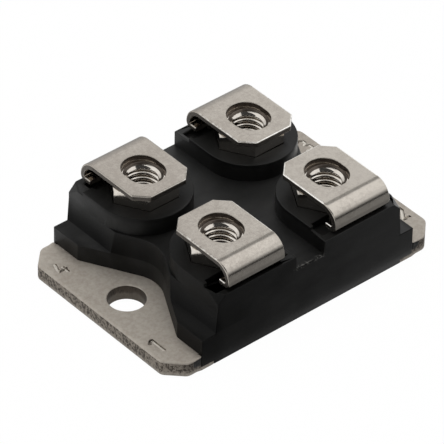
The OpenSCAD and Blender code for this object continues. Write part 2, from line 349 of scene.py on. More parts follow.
@dataclass(frozen=True)
class ShearedMetal:
    """A sheared edge: a smooth burnished band below and a torn, speckled band above it."""

    name: str
    burnish: Colour
    torn: Colour
    speck: Colour
    split: float
    fade: float = 0.25
    swing: float = 0.8
    roughness: float = 0.42
    coarse_spread: float = 0.2
    torn_spread: float = 0.1
    wander: Lumps = Lumps(0.9, 3.0, 0.5, (1.0, 1.0, 0.2))
    coarse: Lumps = Lumps(2.2, 4.0, 0.7, (1.6, 1.6, 0.9))
    specks: Lumps = Lumps(5.5, 3.0, 0.7, (1.0, 1.0, 0.45))
    speck_span: Point = (0.5, 0.68)
    burnish_specks: float = 0.2
    speck_dull: float = 0.5
    relief: float = 0.6
    relief_height: float = 0.03
    dark_band_end: float = 0.0
    dark_band_fade: float = 0.4
    dark_band_ragged: float = 60.0
    dark_band_level: Point = (0.75, 0.95)
    dark_band_climb: Point = (15.0, 16.5)
    dark_band_lift: float = 0.4
    dark_band_tone: Colour = (0.012, 0.012, 0.011)

    def paint(self) -> bpy.types.Material:
        """Builds the material: two bands by height, specks in the torn one, and a dark band if it has one.

        Returns:
            The material.
        """
        bench, material = Bench.for_material(self.name)
        _, _, z = bench.axes()
        sway = (bench.noise(self.wander) - 0.5) * self.swing
        torn = (z + sway).between(self.split - self.fade, self.split + self.fade)
        coarse = bench.noise(self.coarse)
        specks = bench.noise(self.specks).between(*self.speck_span)
        metal = bench.blend(torn, bench.blend(coarse, self.torn, self.burnish), self.torn)
        speck_share = specks * (torn * (1.0 - self.burnish_specks) + self.burnish_specks)
        colour = bench.blend(speck_share, metal, self.speck)
        metallic = 1.0 - specks * torn * self.speck_dull
        if self.dark_band_end:
            dark_band = self.dark_band(bench)
            colour = bench.blend(dark_band, colour, self.dark_band_tone)
            metallic = metallic * (1.0 - dark_band)
        bench.coat({
            "Base Color": colour,
            "Metallic": metallic,
            "Roughness": self.roughness + coarse * self.coarse_spread + torn * self.torn_spread,
            "Normal": bench.bump(coarse + specks * torn, self.relief, self.relief_height),
        })
        return material

    def dark_band(self, bench: Bench) -> Signal:
        """Where a near-black band covers the edge's upper part.

        It stops at a ragged line near the housing's ends, and climbs a little before that line at one
        end.

        Args:
            bench: the material's bench.

        Returns:
            The share that is covered.
        """
        x, _, z = bench.axes()
        wander = bench.noise(self.wander) - 0.5
        inner, outer = ((self.dark_band_end + fade) ** 2 for fade in (-self.dark_band_fade, self.dark_band_fade))
        inside = (x * x + wander * self.dark_band_ragged).until(inner, outer)
        lift = x.between(*self.dark_band_climb) * self.dark_band_lift
        return inside * (z + wander * self.swing - lift).between(*self.dark_band_level)


@dataclass(frozen=True)
class MouldedEpoxy:
    """A black filled moulding compound: matt, finely grained, with flow marks and an uneven film.

    A span is the two levels, in millimetres or of a noise, between which a mask goes from 0 to 1.
    """

    name: str = "moulded_epoxy"
    dark: Colour = (0.0036, 0.0036, 0.0034)
    light: Colour = (0.0066, 0.0065, 0.0061)
    broken: Colour = (0.075, 0.073, 0.068)
    # Painted shade: the colour at the feet of the end walls above the ledges.
    foot: Colour = (0.0, 0.0, 0.0)
    roughness: float = 0.48
    grain_spread: float = 0.25
    flow_spread: float = 0.1
    specular: float = 0.1
    film_roughness: float = 0.45
    flow: Lumps = Lumps(0.35, 4.0, 0.55, (0.5, 1.0, 1.0))
    grain: Lumps = Lumps(7.0, 3.0, 0.65)
    pits: Lumps = Lumps(3.2)
    crumbs: Lumps = Lumps(4.5, 2.0, 0.6)
    flow_span: Point = (0.25, 0.75)
    pit_span: Point = (0.62, 0.75)
    crumb_span: Point = (0.5, 0.62)
    flow_share: float = 0.6
    pit_depth: float = 0.4
    relief: float = 0.45
    relief_height: float = 0.022
    film_span: Point = (-20.0, 10.0)
    film_range: Point = (0.1, 0.85)
    film_slant: float = 0.5
    film_wander: float = 8.0
    thinned_x: Point = (-13.4, -11.8)
    thinned_y: Point = (1.0, 6.0)
    tower_top: Point = (8.6, 9.1)
    near_end: Point = (-10.0, -8.0)
    foot_shade_x: Point = (-13.0, -12.0)
    far_ledge: Point = (12.9, 13.1)
    ledge_rise: Point = (3.9, 4.0)
    ledge_top: Point = (4.1, 4.2)
    shade_top: Point = (4.5, 8.4)
    half_thinning: float = 0.5
    strong_thinning: float = 0.9
    gate_start: Point = (-2.6, -2.2)
    gate_stop: Point = (1.9, 2.4)
    gate_rise: Point = (6.75, 6.95)
    gate_top: Point = (7.2, 7.3)
    gate_side: Point = (-12.35, -11.9)

    def paint(self) -> bpy.types.Material:
        """Builds the material: flow marks in the colour, spark-eroded grain in roughness and bump.

        The feet of the end walls at terminals 1 and 4 are painted darkest, as painted shade above the
        ledges, and the gate's scar is pale.

        Returns:
            The material.
        """
        bench, material = Bench.for_material(self.name)
        x, y, z = bench.axes()
        flow = bench.noise(self.flow).between(*self.flow_span)
        grain = bench.noise(self.grain)
        pits = bench.noise(self.pits).between(*self.pit_span)
        crumbs = bench.noise(self.crumbs).between(*self.crumb_span) * self.gate(x, y, z)
        # Painted shade: above the ledges near terminals 1 and 4 the walls' lower part loses its film, and
        # its foot is painted near black.
        shaded = x.until(*self.near_end) * z.between(*self.ledge_top) * z.until(*self.shade_top)
        foot = shaded * shaded * x.until(*self.foot_shade_x)
        mixed = flow * self.flow_share + grain * (1.0 - self.flow_share)
        marks = bench.blend(mixed, self.dark, self.light)
        colour = bench.blend(crumbs, bench.blend(foot, marks, self.foot), self.broken)
        rough = self.roughness + (grain - 0.5) * self.grain_spread + (flow - 0.5) * self.flow_spread
        bench.coat({
            "Base Color": colour,
            "Roughness": rough,
            "Specular IOR Level": self.specular,
            # The coat's weight also carries the painted shade above the ledges.
            "Coat Weight": self.film(x, y, z, flow) * (1.0 - shaded * self.strong_thinning),
            "Coat Roughness": self.film_roughness,
            "Normal": bench.bump(grain - pits * self.pit_depth + crumbs, self.relief, self.relief_height),
        })
        return material

    def film(self, x: Signal, y: Signal, z: Signal, flow: Signal) -> Signal:
        """How thick the mould's film is.

        It is thickest towards terminals 2 and 3, thinner on the towers' tops and the far ledges, and
        thinned most at terminal 1's end.

        Args:
            x: the place along the module.
            y: the place across it.
            z: the height.
            flow: the flow marks.

        Returns:
            The share of a full film.
        """
        thin, thick = self.film_range
        across = x + y * self.film_slant + (flow - 0.5) * self.film_wander
        thinned_end = x.until(*self.thinned_x) * y.until(*self.thinned_y)
        capped = z.between(*self.tower_top)
        ledge = x.between(*self.far_ledge) * z.between(*self.ledge_rise) * z.until(*self.ledge_top)
        film_kept = (1.0 - capped * self.half_thinning) * (1.0 - ledge * self.half_thinning)
        film_kept = film_kept * (1.0 - thinned_end * self.strong_thinning)
        return (across.between(*self.film_span) * (thick - thin) + thin) * film_kept

    def gate(self, x: Signal, y: Signal, z: Signal) -> Signal:
        """Where the mould's gate was broken off: the channel floor's edge between terminals 1 and 2.

        Args:
            x: the place along the module.
            y: the place across it.
            z: the height.

        Returns:
            The share that the scar has.
        """
        along = x.between(*self.gate_start) * x.until(*self.gate_stop)
        level = z.between(*self.gate_rise) * z.until(*self.gate_top)
        return along * level * y.until(*self.gate_side)


@dataclass(frozen=True)
class InnerLayer:
    """A layer or part inside the module: one tone that wanders, with a fine grain."""

    name: str
    tone: Colour
    shade: Colour
    metallic: float
    roughness: float
    mottle: Lumps = Lumps(1.2, 4.0, 0.6)
    grain: Lumps = Lumps(12.0)
    tone_span: Point = (0.3, 0.7)
    spread: float = 0.15
    relief: float = 0.3
    grain_height: float = 0.006

    def paint(self) -> bpy.types.Material:
        """Builds the material: mottled colour, grained roughness and bump.

        Returns:
            The material.
        """
        bench, material = Bench.for_material(self.name)
        mottle = bench.noise(self.mottle).between(*self.tone_span)
        grain = bench.noise(self.grain)
        bench.coat({
            "Base Color": bench.blend(mottle, self.shade, self.tone),
            "Metallic": self.metallic,
            "Roughness": self.roughness + (grain - 0.5) * self.spread,
            "Normal": bench.bump(grain, self.relief, self.grain_height),
        })
        return material


@dataclass(frozen=True)
class ClearGel:
    """A clear silicone gel."""

    name: str = "clear_gel"
    tone: Colour = (0.82, 0.87, 0.90)
    cloud: Colour = (0.74, 0.79, 0.82)
    clouds: Lumps = Lumps(0.6, 3.0)
    roughness: float = 0.12
    spread: float = 0.1
    refraction: float = 1.41
    clearness: float = 0.9
    relief: float = 0.2
    wave_height: float = 0.05

    def paint(self) -> bpy.types.Material:
        """Builds the material: a clear body with faint clouds and a wavy skin.

        Returns:
            The material.
        """
        bench, material = Bench.for_material(self.name)
        clouds = bench.noise(self.clouds)
        bench.coat({
            "Base Color": bench.blend(clouds, self.cloud, self.tone),
            "Roughness": self.roughness + clouds * self.spread,
            "IOR": self.refraction,
            "Transmission Weight": self.clearness,
            "Normal": bench.bump(clouds, self.relief, self.wave_height),
        })
        return material


class Finish(Enum):
    """Every finish on the module."""

    # The strip's colour grows lighter from terminal 4 to terminal 2: painted light.
    STRIP = SheetMetal("strip_nickel", (0.528, 0.490, 0.438), (0.398, 0.361, 0.320), 0.18, painted_light_drift=0.024)
    # The arris finish is a painted highlight: near-white metal on the rounded edges, with painted light
    # growing towards terminal 2.
    STRIP_ARRIS = SheetMetal("strip_arris", (1.0, 0.97, 0.92), (0.40, 0.37, 0.33), 0.2, painted_light_drift=0.05)
    STRIP_EDGE = ShearedMetal(
        "strip_edge", (0.17, 0.157, 0.142), (0.10, 0.09, 0.08), (0.035, 0.028, 0.022), 11.6
    )
    STRIP_EYE = ShearedMetal(
        "strip_eye", (0.16, 0.13, 0.108), (0.10, 0.08, 0.065), (0.05, 0.04, 0.032), 11.5
    )
    PLATE = SheetMetal(
        "plate_nickel", (0.480, 0.442, 0.388), (0.370, 0.328, 0.283), 0.6, 0.14, metallic=0.6,
        mottle=Lumps(0.3, 4.0, 0.6), lines=Lumps(1.0, 3.0, 0.6, (0.4, 5.0, 5.0)),
    )
    PLATE_EDGE = ShearedMetal(
        "plate_edge", (0.36, 0.335, 0.30), (0.27, 0.24, 0.205), (0.05, 0.039, 0.03), 0.55,
        specks=Lumps(3.5, 3.0, 0.7, (1.0, 1.0, 0.75)), speck_span=(0.44, 0.59), dark_band_end=16.1,
    )
    # The stamp finish is painted light on the figures' walls that face away from terminal 4's corner.
    PLATE_STAMP = SheetMetal("plate_stamp", (0.74, 0.70, 0.63), (0.60, 0.56, 0.50), 0.5, metallic=0.4)
    # The hole finish is darker than the plate's edge: painted shade in the screw holes.
    PLATE_HOLE = ShearedMetal(
        "plate_hole", (0.15, 0.135, 0.115), (0.085, 0.07, 0.057), (0.03, 0.024, 0.018), 1.0
    )
    # The mouth finish is painted shade in each bore's upper mouth.
    NUT_MOUTH = SheetMetal("nut_mouth", (0.15, 0.125, 0.105), (0.09, 0.075, 0.062), 0.4)
    NUT = SheetMetal(
        "nut_steel", (0.76, 0.72, 0.66), (0.65, 0.60, 0.54), 0.12, 0.05,
        mottle=Lumps(0.8, 4.0, 0.6), lines=Lumps(1.0, 3.0, 0.6, (2.0, 2.0, 8.0)),
    )
    MOULDING = MouldedEpoxy()
    SOLDER = InnerLayer("solder_layer", (0.58, 0.58, 0.57), (0.46, 0.46, 0.45), 1.0, 0.45)
    COPPER = InnerLayer("board_copper", (0.90, 0.52, 0.34), (0.78, 0.40, 0.25), 1.0, 0.35)
    CERAMIC = InnerLayer("board_ceramic", (0.86, 0.85, 0.81), (0.80, 0.79, 0.75), 0.0, 0.5)
    SILICON = InnerLayer(
        "chip_silicon", (0.30, 0.31, 0.36), (0.24, 0.25, 0.29), 0.6, 0.2, Lumps(0.5, 4.0, 0.6)
    )
    BOND_WIRE = InnerLayer(
        "bond_aluminium", (0.88, 0.88, 0.88), (0.78, 0.78, 0.78), 1.0, 0.3, Lumps(3.0, 4.0, 0.6)
    )
    GEL = ClearGel()


class Paintbox:
    """The finished materials, each painted once."""

    def __init__(self) -> None:
        """Starts with nothing painted."""
        self.painted: dict[Finish, bpy.types.Material] = {}

    def get(self, finish: Finish) -> bpy.types.Material:
        """The finish's material, painted when it is first asked for.

        Args:
            finish: the finish.

        Returns:
            Its material.
        """
        if finish not in self.painted:
            self.painted[finish] = finish.value.paint()
        return self.painted[finish]


@dataclass
class Shell:
    """Points and faces gathered from grids, in millimetres, before they become one mesh."""

    points: list[np.ndarray] = field(default_factory=list)
    faces: list[list[int]] = field(default_factory=list)
    finishes: list[int] = field(default_factory=list)
    count: int = 0
    merge: float = 0.0005

    def add(self, points: np.ndarray, quads: np.ndarray, finish: Union[int, np.ndarray] = 0) -> None:
        """Adds one grid.

        Args:
            points: the grid's points, of any leading shape, with three numbers each.
            quads: four corner numbers for each face, counted in the flattened grid.
            finish: the place in the piece's list of finishes, for all faces or for each.
        """
        flat = points.reshape(-1, 3)
        self.points.append(flat)
        self.faces.extend((quads.reshape(-1, 4) + self.count).tolist())
        self.finishes.extend(np.broadcast_to(finish, quads.shape[:-1]).ravel().tolist())
        self.count += len(flat)

    def cap(self, corners: np.ndarray, finish: int) -> None:
        """Closes a loop of the last grid with one face.

        Args:
            corners: the loop's corner numbers in that grid.
            finish: the face's place in the piece's list of finishes.
        """
        start = self.count - len(self.points[-1])
        self.faces.append((corners + start).tolist())
        self.finishes.append(finish)

    def piece(self, name: str, finishes: Sequence[bpy.types.Material] = ()) -> bpy.types.Object:
        """Makes the object, with doubles merged, loose points gone and faces turned outwards.

        Args:
            name: the piece's name.
            finishes: its materials, in the order that the faces count them.

        Returns:
            The new object, linked to the scene.
        """
        mesh = bpy.data.meshes.new(name)
        mesh.from_pydata((np.concatenate(self.points) * MM).tolist(), [], self.faces)
        mesh.polygons.foreach_set("material_index", np.asarray(self.finishes, np.int32))
        shape = bmesh.new()
        shape.from_mesh(mesh)
        bmesh.ops.remove_doubles(shape, verts=shape.verts, dist=self.merge * MM)
        loose = [vertex for vertex in shape.verts if not vertex.link_faces]
        bmesh.ops.delete(shape, geom=loose, context="VERTS")
        bmesh.ops.recalc_face_normals(shape, faces=shape.faces)
        shape.to_mesh(mesh)
        shape.free()
        return link(name, mesh, finishes)


def link(name: str, mesh: bpy.types.Mesh, finishes: Sequence[bpy.types.Material]) -> bpy.types.Object:
    """Puts a mesh into the scene as a piece.

    Args:
        name: the piece's name.
        mesh: its mesh, in the frame.
        finishes: its materials, in order.

    Returns:
        The new object.
    """
    for material in finishes:
        mesh.materials.append(material)
    piece = bpy.data.objects.new(name, mesh)
    bpy.context.scene.collection.objects.link(piece)
    return piece


def soften(piece: bpy.types.Object, angle: float) -> None:
    """Shades a piece smoothly, except across edges sharper than an angle.

    Args:
        piece: the piece.
        angle: the angle, in degrees.
    """
    mesh = piece.data
    mesh.polygons.foreach_set("use_smooth", np.ones(len(mesh.polygons), bool))
    mesh.set_sharp_from_angle(angle=math.radians(angle))


def seat(piece: bpy.types.Object, node: str) -> None:
    """Rides a piece on the body, in place of a CAD node.

    Args:
        piece: the piece.
        node: the CAD node that it stands for.
    """
    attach(piece, BODY)
    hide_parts(node)


def read_rows(items: bpy.types.bpy_prop_collection, name: str) -> np.ndarray:
    """A vector that every point or face of a mesh has.

    Args:
        items: the mesh's points or faces.
        name: the vector's name.

    Returns:
        A row of three numbers for each.
    """
    values = np.zeros(len(items) * 3, np.float32)
    items.foreach_get(name, values)
    return values.reshape(-1, 3)


def grid_quads(
    rows: int, columns: int, close_rows: bool = False, close_columns: bool = False
) -> np.ndarray:
    """The corner numbers of a grid's faces, row after row.

    Args:
        rows: how many rows of points.
        columns: how many points in a row.
        close_rows: whether the last row joins the first.
        close_columns: whether each row's last point joins its first.

    Returns:
        An array of four corners for each face, shaped as the grid of faces.
    """
    down = np.arange(rows if close_rows else rows - 1)[:, None]
    along = np.arange(columns if close_columns else columns - 1)[None, :]
    below = (down + 1) % rows * columns
    beside = (along + 1) % columns
    here = down * columns
    corners = (here + along, here + beside, below + beside, below + along)
    return np.stack(np.broadcast_arrays(*corners), axis=-1)


def unit(rows: np.ndarray) -> np.ndarray:
    """Each row as a direction of length 1."""
    return rows / np.linalg.norm(rows, axis=1, keepdims=True)


def rounded_run(
    corners: np.ndarray, radii: Sequence[float], counts: Sequence[int]
) -> tuple[np.ndarray, np.ndarray]:
    """An open outline with rounded corners and the metal on its left.

    Each straight run is cut into equal steps. Each corner is an arc that touches both of its runs: the
    point where the first run ends, moved by the radius times the change of the normal. A corner of
    radius 0 stays one point, at which the normal turns.

    Args:
        corners: the outline's corners.
        radii: the radius at each corner between two runs.
        counts: how many points each straight run has.

    Returns:
        The points, and the normals out of the metal.
    """
    arc_steps = 6
    run = unit(np.diff(corners, axis=0))
    normal = np.column_stack([run[:, 1], -run[:, 0]])
    turn = np.arccos(np.clip((run[:-1] * run[1:]).sum(axis=1), -1.0, 1.0))
    trim = np.concatenate([[0.0], np.array(radii) * np.tan(turn / 2), [0.0]])
    mix = np.linspace(0.0, 1.0, arc_steps + 1)[1:-1, None]
    points = []
    normals = []
    for i, count in enumerate(counts):
        start = corners[i] + run[i] * trim[i]
        end = corners[i + 1] - run[i] * trim[i + 1]
        points.append(start + (end - start) * np.linspace(0.0, 1.0, count)[:, None])
        normals.append(np.repeat(normal[i:i + 1], count, axis=0))
        if i + 1 < len(counts):
            lean = unit(normal[i] * (1 - mix) + normal[i + 1] * mix)
            points.append(end + radii[i] * (lean - normal[i]))
            normals.append(lean)
    return np.concatenate(points), np.concatenate(normals)


@dataclass(frozen=True)
class Rim:
    """A rounded rim between a flat face and a wall: a quarter circle between two narrow flats."""

    rounds: int = 5
    flat: float = 0.04

    def rows(
        self, edge: np.ndarray, inward: np.ndarray, radius: Union[float, np.ndarray],
        face: float, rise: float,
    ) -> np.ndarray:
        """The rim's rows, from the flat face to the wall.

        A row lies back from the outline by the radius times 1 less the sine of its angle, and away from
        the face by the radius times 1 less the cosine.

        Args:
            edge: the rim's outline, in plan.
            inward: the directions in plan from the outline into the metal.
            radius: the round's radius, for the whole rim or for each outline point.
            face: the flat face's level.
            rise: 1 where the metal lies above the face and -1 where it lies below.

        Returns:
            The rows, each with a point for every outline point.
        """
        angle = np.linspace(0.0, math.pi / 2, self.rounds)[:, None]
        size = np.broadcast_to(radius, (1, len(edge)))
        none = np.zeros((1, len(edge)))
        back = np.concatenate([size + self.flat, size * (1.0 - np.sin(angle)), none])
        drop = np.concatenate([none, size * (1.0 - np.cos(angle)), size + self.flat])
        plan = edge[None] + inward[None] * back[..., None]
        return np.concatenate([plan, face + rise * drop[..., None]], axis=-1)


def between_rows(first: np.ndarray, last: np.ndarray, count: int = 4) -> np.ndarray:
    """Rows spread evenly between two others.

    Args:
        first: the row before them.
        last: the row after them.
        count: how many rows.

    Returns:
        The rows.
    """
    share = np.linspace(0.0, 1.0, count + 2)[1:-1, None, None]
    return first[None] + (last - first)[None] * share


@dataclass
class StampedFigure:
    """A figure stamped into the plate, as strokes in a box of unit height."""

    strokes: tuple[tuple[Point, ...], ...]
    centre: Point
    height: float = 2.1
    groove: float = 0.42
    depth: float = 0.2
    lean: float = 0.8
    box_middle: Point = (0.3, 0.5)
    steps: int = 7

    def path(self, stroke: Sequence[Point]) -> np.ndarray:
        """A stroke's points on the plate: its corners joined by straight runs.

        Args:
            stroke: the corners, in the unit box.

        Returns:
            The points, in millimetres.
        """
        corners = (np.array(stroke) - self.box_middle) * self.height + self.centre
        knots = np.arange(len(corners))
        at = np.linspace(0.0, len(corners) - 1.0, (len(corners) - 1) * self.steps + 1)
        return np.column_stack([np.interp(at, knots, corners[:, axis]) for axis in (0, 1)])

    def cutter(self, stroke: Sequence[Point], top: float) -> bpy.types.Object:
        """A stroke's cutter: a diamond section carried along the stroke, drawn to a point at both ends.

        Args:
            stroke: the corners, in the unit box.
            top: the plate's top, in millimetres.

        Returns:
            The cutter.
        """
        path = self.path(stroke)
        along = unit(np.gradient(path, axis=0))
        across = np.column_stack([-along[:, 1], along[:, 0]])
        size = np.ones(len(path))
        size[[0, -1]] = 0.0
        side = np.array([1.0, self.lean, -1.0, self.lean]) * self.groove / 2
        rise = np.array([0.0, 1.0, 0.0, -1.0]) * self.depth
        plan = path[:, None, :] + across[:, None, :] * (side[None, :] * size[:, None])[..., None]
        level = top + rise[None, :] * size[:, None]
        shell = Shell()
        rows = np.concatenate([plan, level[..., None]], axis=-1)
        shell.add(rows, grid_quads(*level.shape, close_columns=True))
        return shell.piece("stamp")


FIGURES = (
    StampedFigure(
        (((0.02, 0.76), (0.16, 0.92), (0.32, 1.0), (0.32, 0.5), (0.32, 0.0)),),
        (-17.55, -8.15), height=2.3,
    ),
    StampedFigure(
        ((
            (0.06, 0.72), (0.12, 0.94), (0.3, 1.0), (0.5, 0.9), (0.52, 0.68), (0.3, 0.36), (0.04, 0.02),
            (0.56, 0.0),
        ),),
        (17.65, -7.85),
    ),
    StampedFigure(
        ((
            (0.06, 0.9), (0.26, 1.0), (0.48, 0.9), (0.46, 0.64), (0.26, 0.54), (0.5, 0.42), (0.54, 0.18),
            (0.3, 0.0), (0.04, 0.12),
        ),),
        (17.5, 7.95), groove=0.34, depth=0.08,
    ),
    StampedFigure(
        (
            ((0.26, 1.0), (0.12, 0.66), (0.02, 0.32), (0.3, 0.34), (0.6, 0.36)),
            ((0.42, 0.62), (0.42, 0.3), (0.42, 0.0)),
        ),
        (-17.35, 8.4),
    ),
)


class PlateFace(IntEnum):
    """The plate's kinds of face, numbered as its finishes are listed."""

    SHEET = 0
    EDGE = 1
    HOLE = 2
    STAMP = 3


@dataclass
class Baseplate:
    """The stamped plate: rounded by the die, with a figure stamped beside each terminal."""

    node: str = "baseplate"
    chamfer: float = 2.1
    recess: float = 0.6
    rim_height: float = 0.5
    rim_length: float = 1.75
    body_end: float = 15.1
    hole_x: float = 15.1
    hole_radius: float = 2.15
    hole_round: float = 0.1
    top_round: float = 0.28
    under_round: float = 0.32
    inner_round: float = 0.1
    round_fade: float = 0.6
    corner_round: float = 1.0
    upper_step_round: float = 0.22
    lower_step_round: float = 0.16
    sliver: float = 0.01
    run_points: tuple[int, ...] = (30, 3, 8, 3, 8, 10)
    end_points: int = 48
    middle_points: int = 40
    middle_inset: float = 0.4
    even_share: float = 0.1
    upright_below: float = 0.3
    figure_reach: float = 0.52
    sharp_angle: float = 30.0
    rim: Rim = Rim()
    figures: tuple[StampedFigure, ...] = FIGURES

    def build(self, paints: Paintbox) -> bpy.types.Object:
        """Builds both halves, stamps the figures and dresses the faces.

        Args:
            paints: the materials.

        Returns:
            The piece.
        """
        high = np.array(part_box(self.node)[1]) / MM
        rows, quads = self.half(high)
        shell = Shell()
        for side in (1.0, -1.0):
            shell.add(rows * (side, 1.0, 1.0), quads)
        finishes = (Finish.PLATE, Finish.PLATE_EDGE, Finish.PLATE_HOLE, Finish.PLATE_STAMP)
        piece = shell.piece("stamped_plate", [paints.get(finish) for finish in finishes])
        self.stamp(piece, high[2])
        self.dress(piece.data, high[2])
        soften(piece, self.sharp_angle)
        seat(piece, self.node)
        return piece

    def outlines(self, high: np.ndarray) -> tuple[np.ndarray, ...]:
        """A half's outlines above and below its side rims, from the middle line round the end and back.

        Both have the same stations. The upper one steps in where the recess starts, and the lower one
        where the rim under the recess stops.

        Args:
            high: the plate's highest corner.

        Returns:
            The upper points and outward normals, and the lower ones.
        """
        x, y, _ = high
        inner = y - self.recess
        body = self.body_end
        rim_end = body - self.rim_length
        start = [(0.0, -inner), (rim_end, -inner)]
        end = [(body, -y), (x - self.chamfer, -y), (x, self.chamfer - y)]
        upper = [*start, (rim_end + self.sliver, -inner), (body, -inner), *end]
        lower = [*start, (rim_end, -y), (body - self.sliver, -y), *end]
        upper_radii = [0.0, 0.0, 0.0, self.upper_step_round, self.corner_round, self.corner_round]
        lower_radii = [0.0, self.lower_step_round, 0.0, 0.0, self.corner_round, self.corner_round]
        counts = [*self.run_points, self.end_points, *self.run_points[::-1]]
        found = []
        for half, radii in ((upper, upper_radii), (lower, lower_radii)):
            corners = np.array(half)
            both = np.concatenate([corners, corners[::-1] * (1.0, -1.0)])
            found.extend(rounded_run(both, radii + radii[::-1], counts))
        return tuple(found)

    def half(self, high: np.ndarray) -> tuple[np.ndarray, np.ndarray]:
        """One half: a section carried round its screw hole.

        The section goes from the hole's wall over the top, down the outline and back below. The hole's
        points lie at the stations' angles, evened out a little so that no two coincide. Along the middle
        line the section has no outer wall, and the other half goes on.

        Args:
            high: the plate's highest corner.

        Returns:
            The points by section row and station, and the faces.
        """
        upper, out_upper, lower, out_lower = self.outlines(high)
        top = high[2]
        clear = high[1] - self.recess - self.middle_inset
        line = np.zeros((self.middle_points, 2))
        line[:, 1] = np.linspace(clear, -clear, self.middle_points)
        above, below = (np.concatenate([outline, line]) for outline in (upper, lower))
        into_upper, into_lower = (np.concatenate([-out, 0 * line]) for out in (out_upper, out_lower))
        middle = (above + below) / 2 - (self.hole_x, 0.0)
        angle = np.unwrap(np.arctan2(middle[:, 1], middle[:, 0]))
        evened = np.linspace(angle[0], angle[-1], len(angle))
        angle = (1.0 - self.even_share) * angle + self.even_share * evened
        ray = np.column_stack([np.cos(angle), np.sin(angle)])
        eye = ray * self.hole_radius + (self.hole_x, 0.0)
        outside = np.clip((lower[:, 0] - self.body_end) / self.round_fade, 0.0, 1.0)
        outside = np.concatenate([outside, np.zeros(len(line))])
        over = self.inner_round + (self.top_round - self.inner_round) * outside
        under = self.inner_round + (self.under_round - self.inner_round) * outside
        eye_top = self.rim.rows(eye, ray, self.hole_round, top, -1.0)
        eye_under = self.rim.rows(eye, ray, self.hole_round, 0.0, 1.0)
        out_top = self.rim.rows(above, into_upper, over, top, -1.0)
        out_under = self.rim.rows(below, into_lower, under, 0.0, 1.0)
        level = np.full(len(above), self.rim_height)
        step = np.stack([np.column_stack([plan, level]) for plan in (above, below)])
        top_face = between_rows(eye_top[0], out_top[0])
        under_face = between_rows(out_under[0], eye_under[0])
        wall = np.concatenate([out_top, step, out_under[::-1]])
        rows = np.concatenate([eye_top[::-1], top_face, wall, under_face, eye_under])
        quads = grid_quads(len(rows), len(above), True, True)
        row, column = np.indices(quads.shape[:2])
        first = len(eye_top) + len(top_face)
        open_side = (column >= len(upper) - 1) & (row >= first) & (row < first + len(wall) - 1)
        return rows, quads[~open_side]

    def stamp(self, piece: bpy.types.Object, top: float) -> None:
        """Cuts the figures into the plate's top, one stroke after another.

        Args:
            piece: the plate.
            top: the plate's top, in millimetres.
        """
        for figure in self.figures:
            for stroke in figure.strokes:
                tool = figure.cutter(stroke, top)
                cut = piece.modifiers.new("stamp", "BOOLEAN")
                cut.operation = "DIFFERENCE"
                cut.solver = "MANIFOLD"
                cut.object = tool
                graph = bpy.context.evaluated_depsgraph_get()
                stamped = bpy.data.meshes.new_from_object(piece.evaluated_get(graph))
                piece.modifiers.clear()
                piece.data = stamped
                bpy.data.objects.remove(tool)

    def dress(self, mesh: bpy.types.Mesh, top: float) -> None:
        """Gives upright faces the sheared finish, the screw holes a darker one as painted shade, and the
        figures theirs.

        A figure's walls towards terminal 4's corner take the edge finish as painted shade, and the others
        the pale stamp finish as painted light.

        Args:
            mesh: the plate's mesh.
            top: the plate's top, in millimetres.
        """
        x, y, z = read_rows(mesh.polygons, "center").T / MM
        out_x, out_y, out_z = read_rows(mesh.polygons, "normal").T
        upright = np.abs(out_z) < self.upright_below
        in_hole = np.hypot(np.abs(x) - self.hole_x, y) < self.hole_radius + self.hole_round
        in_figure = np.zeros(len(x), bool)
        for figure in self.figures:
            apart = np.maximum(np.abs(x - figure.centre[0]), np.abs(y - figure.centre[1]))
            in_figure |= apart < figure.height * self.figure_reach
        in_figure &= (z > top / 2) & (z < top - self.sliver)
        # Painted shade on the walls towards terminal 4's corner, painted light on the others.
        figure_wall = np.where(out_y > out_x, PlateFace.EDGE, PlateFace.STAMP)
        # The screw holes' walls take the darker finish as painted shade.
        wall = np.where(in_hole, PlateFace.HOLE, PlateFace.EDGE)
        face = np.select([in_figure, upright], [figure_wall, wall], PlateFace.SHEET)
        mesh.polygons.foreach_set("material_index", face.astype(np.int32))


